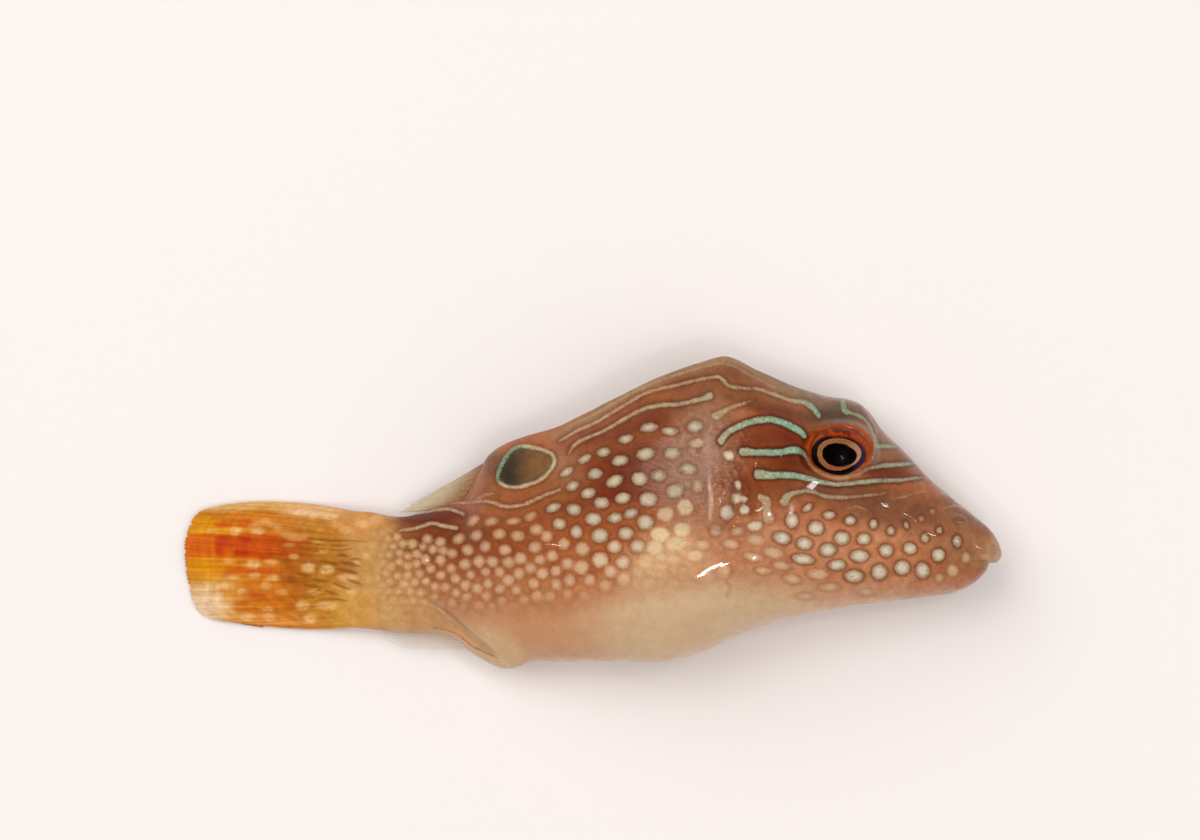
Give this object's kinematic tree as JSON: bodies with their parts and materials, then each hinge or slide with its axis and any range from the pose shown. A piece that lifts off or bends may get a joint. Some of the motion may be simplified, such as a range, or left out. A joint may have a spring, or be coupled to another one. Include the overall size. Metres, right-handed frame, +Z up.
{
  "type": "pearl toby puffer",
  "caption": "Still, life-size model of a pearl toby, a small sharpnose puffer, lying on its left side with its fins folded back.",
  "frame": {"origin": "the middle of the part's box, at the level that it rests on", "axes": "+X towards the snout, +Y towards the back of the fish, +Z up, out of its right side"},
  "size_m": [0.0525, 0.0199, 0.0104],
  "materials": {
    "skin": "wet, finely prickled skin, reddish brown above and pinkish tan below, with pale blue spots and lines in dark outlines",
    "tail_fin": "thin moist fin, olive brown at its base and orange at its edge, with raised rays and small pale spots",
    "fin_membrane": "thin moist see-through membrane between raised pale rays",
    "eye": "wet clear cornea over a black pupil and a coppery iris"
  },
  "bodies": {
    "root": {"head": "skin", "trunk": "skin", "tail_stalk": "skin", "tail_fin": "tail_fin", "dorsal_fin": "fin_membrane", "anal_fin": "fin_membrane", "pectoral_fin_right": "fin_membrane", "pectoral_fin_left": "fin_membrane", "eye_right": "eye", "eye_left": "eye"}
  },
  "joints": []
}
